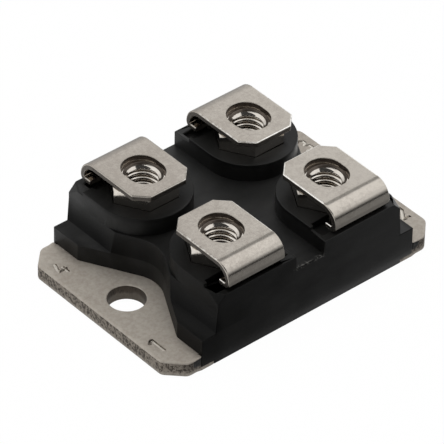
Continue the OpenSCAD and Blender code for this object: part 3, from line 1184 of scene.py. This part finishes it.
@dataclass
class Housing:
    """The moulding: four towers on one block, with every outer edge slightly broken."""

    node: str = "housing"
    edge_round: float = 0.09
    edge_faces: int = 2
    edge_angle: float = 28.0
    edge_above: float = 2.2
    inside: Triple = (10.3, 11.6, 7.0)
    sharp_angle: float = 30.0
    merge: float = 0.001
    flat_angle: float = 0.6
    groove_end: float = -12.5
    groove_stop: float = -11.6
    groove_from: Point = (9.0, 8.2)
    groove_slack: float = 0.02

    def build(self, paints: Paintbox) -> bpy.types.Object:
        """Copies the node, breaks its outer edges and dresses it.

        Args:
            paints: the materials.

        Returns:
            The piece.
        """
        mesh = bpy.data.meshes.new("moulded_housing")
        weights = self.copy_node(mesh)
        self.shorten_groove(mesh)
        layer = mesh.attributes.new("bevel_weight_edge", "FLOAT", "EDGE")
        layer.data.foreach_set("value", weights)
        piece = link("moulded_housing", mesh, [paints.get(Finish.MOULDING)])
        soften(piece, self.sharp_angle)
        bevel = piece.modifiers.new("edge_round", "BEVEL")
        bevel.limit_method = "WEIGHT"
        bevel.offset_type = "OFFSET"
        bevel.width = self.edge_round * MM
        bevel.segments = self.edge_faces
        bevel.use_clamp_overlap = False
        bevel.harden_normals = True
        bevel.miter_outer = "MITER_ARC"
        seat(piece, self.node)
        return piece

    def copy_node(self, mesh: bpy.types.Mesh) -> np.ndarray:
        """Copies the CAD node, with its triangles merged and its flat faces made whole.

        Args:
            mesh: the empty mesh that takes the copy.

        Returns:
            How much of the bevel each edge takes: all of it where the edge stands out on the outside,
            above the plate, and none elsewhere.
        """
        shape = bmesh.new()
        shape.from_mesh(bpy.data.objects[self.node].data)
        bmesh.ops.remove_doubles(shape, verts=shape.verts, dist=self.merge * MM)
        bmesh.ops.dissolve_limit(
            shape, angle_limit=math.radians(self.flat_angle), use_dissolve_boundaries=False,
            verts=shape.verts, edges=shape.edges,
        )
        ends = np.array([[tuple(vertex.co) for vertex in edge.verts] for edge in shape.edges]) / MM
        turn = np.degrees([edge.calc_face_angle_signed(0.0) for edge in shape.edges])
        shape.to_mesh(mesh)
        shape.free()
        x, y, z = ends.mean(axis=1).T
        inside = (np.abs(x) < self.inside[0]) & (np.abs(y) < self.inside[1]) & (z < self.inside[2])
        return ((turn > self.edge_angle) & (z > self.edge_above) & ~inside).astype(np.float32)

    def shorten_groove(self, mesh: bpy.types.Mesh) -> None:
        """Ends the groove behind terminal 4's lip under the fold, as the moulding does there.

        The points of the groove's end wall move along X alone, which keeps every face round them flat.

        Args:
            mesh: the housing's mesh.
        """
        places = read_rows(mesh.vertices, "co")
        x, y, z = places.T / MM
        beyond = (y > self.groove_from[0]) & (z > self.groove_from[1])
        places[beyond & (np.abs(x - self.groove_end) < self.groove_slack), 0] = self.groove_stop * MM
        mesh.vertices.foreach_set("co", places.ravel())


class StripFace(IntEnum):
    """A strip's kinds of face, numbered as its finishes are listed."""

    SHEET = 0
    EDGE = 1
    EYE = 2
    ARRIS = 3


@dataclass
class TerminalStrip:
    """A terminal: tongue with an oval hole, round bend, fold over the lip, and leg in the housing."""

    node: str
    thickness: float = 0.65
    tip_reach: float = 4.25
    tip_chamfer: float = 1.5
    leg_reach: float = 5.95
    crossing: float = 8.9
    fold: float = 0.15
    leg_width: float = 3.6
    foot: float = 1.4
    track: float = 3.05
    eye: Point = (4.4, 5.25)
    eye_round: float = 0.06
    roll_round: float = 0.15
    burr_round: float = 0.05
    corner_round: float = 0.22
    line_clear: float = 3.0
    ear: float = 0.85
    ear_gap: float = 0.1
    ear_round: float = 0.14
    ear_overlap: float = 0.02
    ear_points: tuple[int, ...] = (4, 3, 4)
    straight: float = 1.99
    step: float = 0.22
    bend_stations: int = 24
    fold_stations: int = 16
    leg_stations: int = 12
    sharp_angle: float = 50.0
    rim: Rim = Rim()
    width: float = field(init=False)
    top: float = field(init=False)
    bend: float = field(init=False)
    bend_y: float = field(init=False)

    def build(self, paints: Paintbox) -> bpy.types.Object:
        """Builds the tongue and the bent part as one closed surface, and the fold's two ears.

        They are built about the nut's axis, with the bend towards +Y, and then turned and moved into
        place.

        Args:
            paints: the materials.

        Returns:
            The piece.
        """
        low, high = (np.array(corner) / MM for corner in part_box(self.node))
        self.width = high[0] - low[0]
        self.top = high[2]
        self.bend = self.top - self.crossing - self.fold - self.thickness
        self.bend_y = self.leg_reach - self.bend
        shell = Shell()
        loop, face = self.add_tongue(shell)
        self.add_bends(shell, loop, face)
        self.add_ears(shell)
        toward = 1.0 if high[1] > 0 else -1.0
        outer = max(high[1] * toward, low[1] * toward)
        origin = np.array([(low[0] + high[0]) / 2, toward * (outer - self.leg_reach), 0.0])
        shell.points = [points * (1.0, toward, 1.0) + origin for points in shell.points]
        finishes = (Finish.STRIP, Finish.STRIP_EDGE, Finish.STRIP_EYE, Finish.STRIP_ARRIS)
        piece = shell.piece(f"bent_{self.node}", [paints.get(finish) for finish in finishes])
        soften(piece, self.sharp_angle)
        seat(piece, self.node)
        return piece

    def outline(self) -> tuple[np.ndarray, np.ndarray]:
        """The tongue's outline from one end of the bend line round the tip to the other.

        Returns:
            The outline's points and its outward normals.
        """
        half = self.width / 2
        tip = -self.tip_reach
        cut = self.tip_chamfer
        left = np.array([(-half, self.bend_y), (-half, tip + cut), (cut - half, tip)])
        corners = np.concatenate([left, left[::-1] * (-1.0, 1.0)])
        lengths = np.linalg.norm(np.diff(corners, axis=0), axis=1)
        counts = np.maximum(2, np.round(lengths / self.step)).astype(int)
        return rounded_run(corners, [self.corner_round] * 4, counts.tolist())

    def eye_edge(self, toward: np.ndarray) -> tuple[np.ndarray, np.ndarray]:
        """Where rays from the hole's middle meet its oval edge.

        The oval is two half circles joined by straight sides; a ray meets a straight side where that hit
        lies between the half circles' middles, and otherwise the half circle on its own side.

        Args:
            toward: the points that the rays go through.

        Returns:
            The points on the edge, and the normals there into the metal.
        """
        ray = unit(toward)
        radius = self.eye[0] / 2
        rise = (self.eye[1] - self.eye[0]) / 2
        side = np.abs(ray[:, 1] * radius) <= rise * np.abs(ray[:, 0])
        shift = np.sign(ray[:, 1]) * rise
        along = ray[:, 1] * shift
        far = along + np.sqrt(along ** 2 - rise ** 2 + radius ** 2)
        reach = np.where(side, radius / np.maximum(np.abs(ray[:, 0]), TINY), far)
        points = ray * reach[:, None]
        round_normal = (points - np.column_stack([np.zeros_like(shift), shift])) / radius
        side_normal = np.column_stack([np.sign(ray[:, 0]), np.zeros_like(shift)])
        return points, np.where(side[:, None], side_normal, round_normal)

    def add_tongue(self, shell: Shell) -> tuple[np.ndarray, np.ndarray]:
        """Adds the tongue: a section from the hole's wall over the top, down the outline and back below.

        The section is carried round the hole. Along the bend line it has no outer wall: there the bent
        part goes on.

        Args:
            shell: what the tongue is added to.

        Returns:
            The open loop that the bend line leaves, and the kind of face after each of its points.
        """
        outline, outward = self.outline()
        clear = self.width / 2 - self.line_clear * self.roll_round
        count = int(round(2 * clear / self.step))
        line = np.column_stack([np.linspace(clear, -clear, count), np.full(count, self.bend_y)])
        stations = np.concatenate([outline, line])
        inward = np.concatenate([-outward, np.zeros_like(line)])
        eye, into = self.eye_edge(stations)
        under = self.top - self.thickness
        eye_top = self.rim.rows(eye, into, self.eye_round, self.top, -1.0)
        eye_under = self.rim.rows(eye, into, self.burr_round, under, 1.0)
        out_top = self.rim.rows(stations, inward, self.roll_round, self.top, -1.0)
        out_under = self.rim.rows(stations, inward, self.burr_round, under, 1.0)
        above = between_rows(eye_top[0], out_top[0])
        below = between_rows(out_under[0], eye_under[0])
        rows = np.concatenate([eye_top[::-1], above, out_top, out_under[::-1], below, eye_under])
        first = len(eye_top) + len(above)
        last = first + len(out_top) + len(out_under) - 1
        wall = first + len(out_top) - 1
        quads = grid_quads(len(rows), len(stations), True, True)
        row, column = np.indices(quads.shape[:2])
        kept = (column < len(outline) - 1) | (row < first) | (row >= last)
        eye_wall = (row >= len(rows) - 2) | (row == 0)
        # The tongue's top rounds take the arris finish, a painted highlight.
        arris = (row > first) & (row < first + self.rim.rounds - 1)
        kinds = [StripFace.EYE, StripFace.ARRIS, StripFace.EDGE]
        face = np.select([eye_wall, arris, np.abs(row - wall) <= 1], kinds, StripFace.SHEET)
        shell.add(rows, quads[kept], face[kept])
        right = rows[first:last + 1, len(outline) - 1]
        left = rows[first:last + 1, 0]
        bottom = rows[last, len(outline):]
        top = rows[first, len(outline):]
        loop = np.concatenate([right, bottom, left[::-1], top[::-1]])
        place = np.arange(len(loop))
        right_wall = wall - first
        left_wall = len(right) + len(bottom) + len(left) - 2 - right_wall
        is_cut = (np.abs(place - right_wall) <= 1) | (np.abs(place - left_wall) <= 1)
        return loop, np.where(is_cut, StripFace.EDGE, StripFace.SHEET)

    def route(self) -> np.ndarray:
        """The strip's middle line after the tongue: the bend, the fold, the leg and the foot.

        Returns:
            A row for each station: Y, Z, the outward normal's Y and Z, and the width as a share of the
            tongue's.
        """
        middle = self.thickness / 2
        fold = self.fold + middle
        bend_z = self.top - self.bend
        fold_y = self.leg_reach - self.fold - self.thickness
        foot_y = fold_y - 2 * fold
        foot_z = self.track + self.fold + self.thickness
        narrow = self.leg_width / self.width
        quarter = math.pi / 2
        bend = (self.bend_y, bend_z)
        leg = (fold_y, self.crossing - self.fold)
        return np.concatenate([
            self.arc(bend, self.bend - middle, (quarter, 0.0), 1.0, 1.0, self.bend_stations),
            self.arc((fold_y, bend_z), fold, (0.0, -quarter), 1.0, 1.0, self.fold_stations)[1:],
            self.arc(leg, fold, (quarter, 2 * quarter), -1.0, narrow, self.leg_stations),
            self.arc((foot_y, foot_z), fold, (0.0, -quarter), 1.0, narrow, self.leg_stations),
            np.array([[foot_y - self.foot, self.track + middle, 0.0, -1.0, narrow]]),
        ])

    @staticmethod
    def arc(
        centre: Point, radius: float, span: Point, outside: float, share: float, count: int
    ) -> np.ndarray:
        """Stations round a part of a circle.

        Args:
            centre: the circle's middle, as Y and Z.
            radius: the middle line's radius.
            span: the first and last angle.
            outside: 1 where the strip's outer face lies outside the circle and -1 where it lies inside.
            share: the width as a share of the tongue's.
            count: how many stations.

        Returns:
            The stations, as route gives them.
        """
        angle = np.linspace(span[0], span[1], count)
        ray = np.column_stack([np.cos(angle), np.sin(angle)])
        return np.column_stack([ray * radius + centre, ray * outside, np.full(count, share)])

    def add_bends(self, shell: Shell, loop: np.ndarray, face: np.ndarray) -> None:
        """Carries the tongue's open loop along the rest of the strip, and closes its end.

        Each point keeps its distance from the middle line and, times the width's share, its place across
        the strip.

        Args:
            shell: what the bent part is added to.
            loop: the loop's points at the bend line.
            face: the kind of face after each of the loop's points.
        """
        route = self.route()
        offset = loop[:, 2] - (self.top - self.thickness / 2)
        across = route[:, 4, None] * loop[None, :, 0]
        out = route[:, 0, None] + route[:, 2, None] * offset[None, :]
        up = route[:, 1, None] + route[:, 3, None] * offset[None, :]
        rows = np.stack([across, out, up], axis=-1)
        shell.add(rows, grid_quads(*across.shape, close_columns=True), face)
        shell.cap(np.arange(len(loop)) + (len(route) - 1) * len(loop), StripFace.EDGE)

    def add_ears(self, shell: Shell) -> None:
        """Adds the fold's two ears, which go on under the tongue on both sides of the narrower leg.

        Each is a section with its two outer corners rounded, carried straight along Y from just inside
        the fold, and closed at both ends. The rounds take the bright arris finish, a painted highlight,
        and the ends and sides are cut edges. A face is straight where the normals of its two edges are
        parallel, so that they add up to 2.

        Args:
            shell: what the ears are added to.
        """
        inner = self.leg_width / 2 + self.ear_gap
        half = self.width / 2
        high = self.crossing + self.thickness
        corners = np.array([(inner, self.crossing), (half, self.crossing), (half, high), (inner, high)])
        section, out = rounded_run(corners, [self.ear_round] * 2, self.ear_points)
        straight = np.abs(out + np.roll(out, -1, axis=0)) > self.straight
        kinds = [StripFace.SHEET, StripFace.EDGE]
        face = np.select([straight[:, 1], straight[:, 0]], kinds, StripFace.ARRIS)
        face[-1] = StripFace.EDGE
        start = self.leg_reach - self.fold - self.thickness
        count = len(section)
        for side in (1.0, -1.0):
            rows = np.stack([
                np.column_stack([section[:, 0] * side, np.full(count, y), section[:, 1]])
                for y in (start + self.ear_overlap, start - self.ear)
            ])
            shell.add(rows, grid_quads(2, count, close_columns=True), face)
            for first in (0, count):
                shell.cap(np.arange(count) + first, StripFace.EDGE)


@dataclass
class ThreadedNuts:
    """The four trapped nuts: hexagons with turned corners and a cut thread."""

    node: str = "terminal_nuts"
    flats: float = 7.15
    height: float = 3.2
    bore: float = 1.65
    root: float = 2.0
    pitch: float = 0.7
    start: float = 0.5
    sink: float = 0.5
    bottom: float = 8.0
    crown_angle: float = 30.0
    crest: float = 0.2
    flank: float = 0.62
    blur: float = 0.05
    blur_samples: int = 7
    edge: float = 0.025
    ring: float = 0.02
    mouth_ring: Point = (0.06, 0.1)
    flat_ring: Point = (0.14, 0.08)
    mouth_margin: float = 0.12
    around: int = 96
    turn_rows: int = 28
    sharp_angle: float = 24.0
    places: tuple[Point, ...] = ((-7.5, -6.45), (7.5, -6.45), (7.5, 6.45), (-7.5, 6.45))

    def sweep(self, radius: np.ndarray, height: np.ndarray) -> np.ndarray:
        """Carries radii and heights over the nut's foot round the Z axis.

        Args:
            radius: the radii, by row and by angle or the same at every angle.
            height: the heights, by row and by angle.

        Returns:
            The points.
        """
        angle = self.angles()
        return np.stack([radius * np.cos(angle), radius * np.sin(angle), height + self.bottom], axis=-1)

    def angles(self) -> np.ndarray:
        """The angles round a nut, with the first one again at the end."""
        return np.linspace(0.0, 2 * math.pi, self.around + 1)

    def thread(self) -> np.ndarray:
        """One nut's bore about the Z axis, on rows that follow the helix.

        Each row has one phase of the pitch and climbs a pitch in a turn, so that its end meets the start
        of the row a turn above. The radius is a truncated saw of the phase, averaged over a tenth of a
        pitch, which rounds the crests. A cone of 45 degrees widens both ends, and rows that pass an end
        are held at it.

        Returns:
            The points, by row and by angle.
        """
        step = self.pitch / self.turn_rows
        count = int(math.ceil(self.height / step)) + self.turn_rows
        level = (np.arange(count + 1) - self.turn_rows / 2) * step
        blur = np.linspace(-self.blur, self.blur, self.blur_samples)
        phase = ((level - self.start)[:, None] / self.pitch + blur) % 1.0
        saw = np.clip((np.abs(2 * phase - 1) - self.crest) / self.flank, 0.0, 1.0).mean(axis=1)
        climb = level[:, None] + self.pitch * (self.angles() / (2 * math.pi) - 0.5)
        height = np.clip(climb, self.edge, self.height - self.edge)
        end = np.minimum(height, self.height - height) - self.edge
        cut = self.bore + (self.root - self.bore) * saw[:, None]
        return self.sweep(np.maximum(cut, self.bore + self.sink - end), height)

    def outside(self) -> np.ndarray:
        """One nut's outside about the Z axis: a section from its upper mouth over the flats to the lower.

        The radius is the flat's distance over the cosine of the angle from the flat's middle, and a
        corner's cone falls at the crown's angle from the flats' circle. A narrow ring breaks each edge
        of the two faces.

        Returns:
            The points, by section row and by angle.
        """
        sixth = math.pi / 3
        flat = self.flats / 2
        mouth = self.bore + self.sink
        hexagon = flat / np.cos(self.angles() % sixth - sixth / 2)
        crown = (hexagon - flat) * math.tan(math.radians(self.crown_angle))
        inner = [mouth, mouth + self.mouth_ring[0], mouth + self.mouth_ring[1]]
        rings = [*inner, flat - self.flat_ring[0], flat - self.flat_ring[1], flat]
        falls = [self.edge, 0.0, 0.0, 0.0, 0.0, self.ring]
        reach = np.stack([*(np.full(len(hexagon), ring) for ring in rings), hexagon])
        depth = np.stack([*(np.full(len(hexagon), fall) for fall in falls), crown + self.ring])
        height = np.concatenate([self.height - depth, depth[::-1]])
        return self.sweep(np.concatenate([reach, reach[::-1]]), height)

    def build(self, paints: Paintbox) -> bpy.types.Object:
        """Sets a nut in each pocket, with the upper mouth of each bore in a darker finish as painted
        shade.

        Args:
            paints: the materials.

        Returns:
            The piece.
        """
        # The mouth's darker finish is painted shade.
        dark = self.bottom + self.height - self.sink / 2
        mouth = self.bore + self.sink + self.mouth_margin
        shell = Shell()
        for x, y in self.places:
            for rows in (self.thread(), self.outside()):
                quads = grid_quads(*rows.shape[:2])
                lowest = rows[..., 2].ravel()[quads].min(axis=-1)
                widest = np.hypot(rows[..., 0], rows[..., 1]).ravel()[quads].max(axis=-1)
                shell.add(rows + (x, y, 0.0), quads, ((lowest > dark) & (widest < mouth)).astype(int))
        piece = shell.piece("threaded_nuts", [paints.get(Finish.NUT), paints.get(Finish.NUT_MOUTH)])
        soften(piece, self.sharp_angle)
        seat(piece, self.node)
        return piece


@dataclass
class InnerBoard:
    """The board, chips, wires and gel, which keep their CAD solids."""

    solids: Mapping[Finish, tuple[str, ...]] = field(default_factory=lambda: {
        Finish.SOLDER: ("substrate_solder", "igbt_solder", "diode_solder"),
        Finish.COPPER: ("substrate_back_copper", "collector_track", "emitter_track", "gate_track"),
        Finish.CERAMIC: ("substrate_ceramic",),
        Finish.SILICON: ("igbt_chip", "diode_chip"),
        Finish.BOND_WIRE: ("emitter_bond_wires", "diode_bond_wires", "gate_bond_wire"),
        Finish.GEL: ("gel_fill",),
    })

    def dress(self, paints: Paintbox, nodes: Mapping[str, bpy.types.Object]) -> list[bpy.types.Object]:
        """Gives each solid its material.

        Args:
            paints: the materials.
            nodes: the frame's CAD nodes.

        Returns:
            The dressed nodes.
        """
        dressed = []
        for finish, names in self.solids.items():
            for name in names:
                node = nodes[name]
                node.material_slots[0].material = paints.get(finish)
                dressed.append(node)
        return dressed


@dataclass
class PhotoCamera:
    """The camera at the photograph's place."""

    azimuth: float = -41.51
    elevation: float = 38.73
    roll: float = 1.41
    distance: float = 473.8
    slide: Point = (1.19, -3.72)
    focal_pixels: float = 4327.9
    sensor: float = 36.0
    clip: Point = (0.01, 10.0)

    def build(self) -> None:
        """Makes the scene's camera."""
        turn, rise, lean = (math.radians(value) for value in (self.azimuth, self.elevation, self.roll))
        back = Vector((math.sin(turn) * math.cos(rise), -math.cos(turn) * math.cos(rise), math.sin(rise)))
        level = Vector((math.cos(turn), math.sin(turn), 0.0))
        upright = back.cross(level)
        right = level * math.cos(lean) + upright * math.sin(lean)
        above = upright * math.cos(lean) - level * math.sin(lean)
        data = bpy.data.cameras.new("photo_camera")
        data.sensor_width = self.sensor
        data.lens = self.focal_pixels / IMAGE_SIDE * self.sensor
        data.clip_start, data.clip_end = self.clip
        camera = bpy.data.objects.new("photo_camera", data)
        place = (back * self.distance - right * self.slide[0] - above * self.slide[1]) * MM
        turned = Matrix((right, above, back)).transposed()
        camera.matrix_world = Matrix.Translation(place) @ turned.to_4x4()
        bpy.context.scene.collection.objects.link(camera)
        bpy.context.scene.camera = camera


class Hang(Enum):
    """How a card hangs: the directions of its width and its height."""

    LEVEL = ((1.0, 0.0, 0.0), (0.0, 1.0, 0.0))
    UPRIGHT = ((1.0, 0.0, 0.0), (0.0, 0.0, 1.0))
    FACING_LENS = ((0.749, -0.663, 0.0), (0.601, 0.679, 0.423))


@dataclass(frozen=True)
class Card:
    """A card that only reflections show: its middle, how it hangs, its size, its glow below and above."""

    name: str
    middle: Triple
    hang: Hang
    size: Point
    glow: Point


@dataclass(frozen=True)
class Lamp:
    """A soft box: its place and the point it faces, its size in millimetres, and its power in watts."""

    name: str
    place: Triple
    aim: Triple
    size: Point
    power: float


@dataclass
class Studio:
    """The pale floor, the white surround, the soft lamps and the reflected cards."""

    floor_side: float = 1600.0
    floor_drop: float = 0.02
    floor_tones: tuple[Colour, Colour] = ((0.80, 0.80, 0.79), (0.84, 0.84, 0.83))
    floor_grain: Lumps = Lumps(0.05)
    floor_white: float = 0.985
    floor_mirrored: float = 0.5
    surround: float = 0.35
    lamps: tuple[Lamp, ...] = (
        Lamp("softbox", (0.0, 40.0, 330.0), (0.0, 0.0, 0.0), (260.0, 200.0), 0.95),
        Lamp("back_left_box", (-260.0, 220.0, 150.0), (0.0, 0.0, 5.0), (150.0, 150.0), 0.05),
    )
    # Every card is a painted reflection: the bright ones paint reflected light, the dark ones painted
    # shade, and the table cards the floor's shadow in front of the module.
    cards: tuple[Card, ...] = (
        Card("overhead_card", (305.0, -90.0, 330.0), Hang.LEVEL, (390.0, 320.0), (1.15, 1.2)),
        Card("gap_card", (200.0, 160.0, 325.0), Hang.LEVEL, (600.0, 150.0), (0.42, 0.42)),
        Card("front_card", (150.0, -400.0, 187.0), Hang.UPRIGHT, (900.0, 145.0), (0.12, 0.88)),
        Card("front_band_card", (150.0, -400.0, 84.0), Hang.UPRIGHT, (900.0, 61.0), (0.02, 0.02)),
        Card("front_low_card", (150.0, -400.0, 26.5), Hang.UPRIGHT, (900.0, 53.0), (0.25, 0.25)),
        Card("table_card", (150.0, -213.0, 0.3), Hang.LEVEL, (900.0, 372.0), (0.27, 0.27)),
        Card("near_table_card", (150.0, -20.0, 0.3), Hang.LEVEL, (900.0, 14.0), (0.2, 0.2)),
        Card("back_card", (150.0, 420.0, 165.0), Hang.UPRIGHT, (900.0, 330.0), (0.6, 0.85)),
        Card("back_table_card", (288.0, 220.0, 0.3), Hang.LEVEL, (600.0, 410.0), (0.5, 0.5)),
        Card("lens_card", (-131.0, -148.0, 239.0), Hang.FACING_LENS, (436.0, 234.0), (0.05, 0.05)),
    )

    def build(self) -> None:
        """Makes the floor, the surround, the lamps and the cards."""
        self.add_floor()
        self.add_surround()
        for lamp in self.lamps:
            self.add_lamp(lamp)
        for card in self.cards:
            self.add_card(card)

    @staticmethod
    def add_sheet(
        name: str, middle: Sequence[float], wide: np.ndarray, tall: np.ndarray,
        material: bpy.types.Material,
    ) -> bpy.types.Object:
        """Adds a flat sheet to the scene: its middle, with half its width and height to each side.

        Args:
            name: the sheet's name.
            middle: its middle.
            wide: its whole width, as a vector.
            tall: its whole height, as a vector.
            material: its material.

        Returns:
            The sheet.
        """
        share = np.array([-0.5, 0.5])
        grid = np.array(middle) + share[None, :, None] * wide + share[:, None, None] * tall
        shell = Shell()
        shell.add(grid, grid_quads(2, 2))
        sheet = shell.piece(name, [material])
        return sheet

    @staticmethod
    def ray_kinds(bench: Bench) -> tuple[Signal, Signal]:
        """Two masks of the rays that show a surface.

        Args:
            bench: the tree that asks.

        Returns:
            1 for rays from the camera, and 1 for those and for the rays that metal or glass sends on.
        """
        camera = bench.add("ShaderNodeLightPath", {}, {}).sibling("Is Camera Ray")
        return camera, camera | camera.sibling("Is Glossy Ray") | camera.sibling("Is Transmission Ray")

    def add_floor(self) -> None:
        """Makes the floor: white where it shows, with a share of true shadow, and clear from below."""
        bench, material = Bench.for_material("pale_floor")
        tone = bench.blend(bench.noise(self.floor_grain), *self.floor_tones)
        matt = {"Base Color": tone, "Roughness": 1.0, "Specular IOR Level": 0.0}
        lit = bench.add("ShaderNodeBsdfPrincipled", {}, matt)
        white = bench.add("ShaderNodeEmission", {}, {"Color": WHITE, "Strength": 1.0})
        camera, shown = self.ray_kinds(bench)
        share = camera * self.floor_white | shown * self.floor_mirrored
        mixed = bench.add("ShaderNodeMixShader", {}, {0: share, 1: lit, 2: white})
        below = bench.add("ShaderNodeNewGeometry", {}, {}).sibling("Backfacing")
        clear = bench.add("ShaderNodeBsdfTransparent", {}, {})
        bench.cover(bench.add("ShaderNodeMixShader", {}, {0: below, 1: mixed, 2: clear}))
        wide, tall = np.eye(3)[:2] * self.floor_side
        self.add_sheet("floor", (0.0, 0.0, -self.floor_drop), wide, tall, material)

    def add_surround(self) -> None:
        """Makes the world: white where it shows, and softer where it lights."""
        world = bpy.data.worlds.new("white_surround")
        bpy.context.scene.world = world
        world.use_nodes = True
        bench = Bench(world.node_tree)
        _, shown = self.ray_kinds(bench)
        strength = shown * (1.0 - self.surround) + self.surround
        light = bench.add("ShaderNodeBackground", {}, {"Color": WHITE, "Strength": strength})
        bench.add("ShaderNodeOutputWorld", {}, {"Surface": light})

    def add_card(self, card: Card) -> None:
        """Hangs a painted reflection: a glowing card that only the metal and the moulding's gloss see.

        Its glow runs evenly from the lower edge to the upper one, by the place along the card's height.

        Args:
            card: the card.
        """
        wide, tall = unit(np.array(card.hang.value))
        bench, material = Bench.for_material(card.name)
        low, high = ((level, level, level) for level in card.glow)
        glow = (*low, 1.0)
        if low != high:
            toward = {0: bench.place(), 1: tuple(tall / card.size[1])}
            product = bench.add("ShaderNodeVectorMath", {"operation": "DOT_PRODUCT"}, toward)
            height = product.sibling("Value")
            glow = bench.blend(height - (float(tall @ card.middle) / card.size[1] - 0.5), low, high)
        bench.coat({
            "Base Color": BLACK,
            "Specular IOR Level": 0.0,
            "Emission Color": glow,
            "Emission Strength": 1.0,
        })
        piece = self.add_sheet(card.name, card.middle, wide * card.size[0], tall * card.size[1], material)
        piece.visible_camera = False
        piece.visible_diffuse = False
        piece.visible_shadow = False

    @staticmethod
    def add_lamp(lamp: Lamp) -> None:
        """Adds a soft box, which no reflection shows.

        Args:
            lamp: the soft box.
        """
        data = bpy.data.lights.new(lamp.name, "AREA")
        data.shape = "RECTANGLE"
        data.size, data.size_y = (length * MM for length in lamp.size)
        data.energy = lamp.power
        box = bpy.data.objects.new(lamp.name, data)
        box.location = Vector(lamp.place) * MM
        box.rotation_euler = (Vector(lamp.aim) - Vector(lamp.place)).to_track_quat("-Z", "Y").to_euler()
        box.visible_glossy = False
        bpy.context.scene.collection.objects.link(box)


def main() -> None:
    """Loads the frame, builds the pieces in order, sets the studio round them and reports each piece."""
    logging.basicConfig(level=logging.INFO, format="%(name)s: %(message)s")
    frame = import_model()
    bpy.context.scene.view_settings.view_transform = "Standard"
    PhotoCamera().build()
    paints = Paintbox()
    pieces = [Baseplate().build(paints), Housing().build(paints)]
    pieces += [TerminalStrip(node).build(paints) for node in TERMINALS]
    pieces.append(ThreadedNuts().build(paints))
    pieces += InnerBoard().dress(paints, frame["nodes"])
    Studio().build()
    for piece in pieces:
        material = piece.material_slots[0].material
        LOG.info("%s: %d faces, first finish %s", piece.name, len(piece.data.polygons), material.name)


if __name__ == "__main__":
    main()
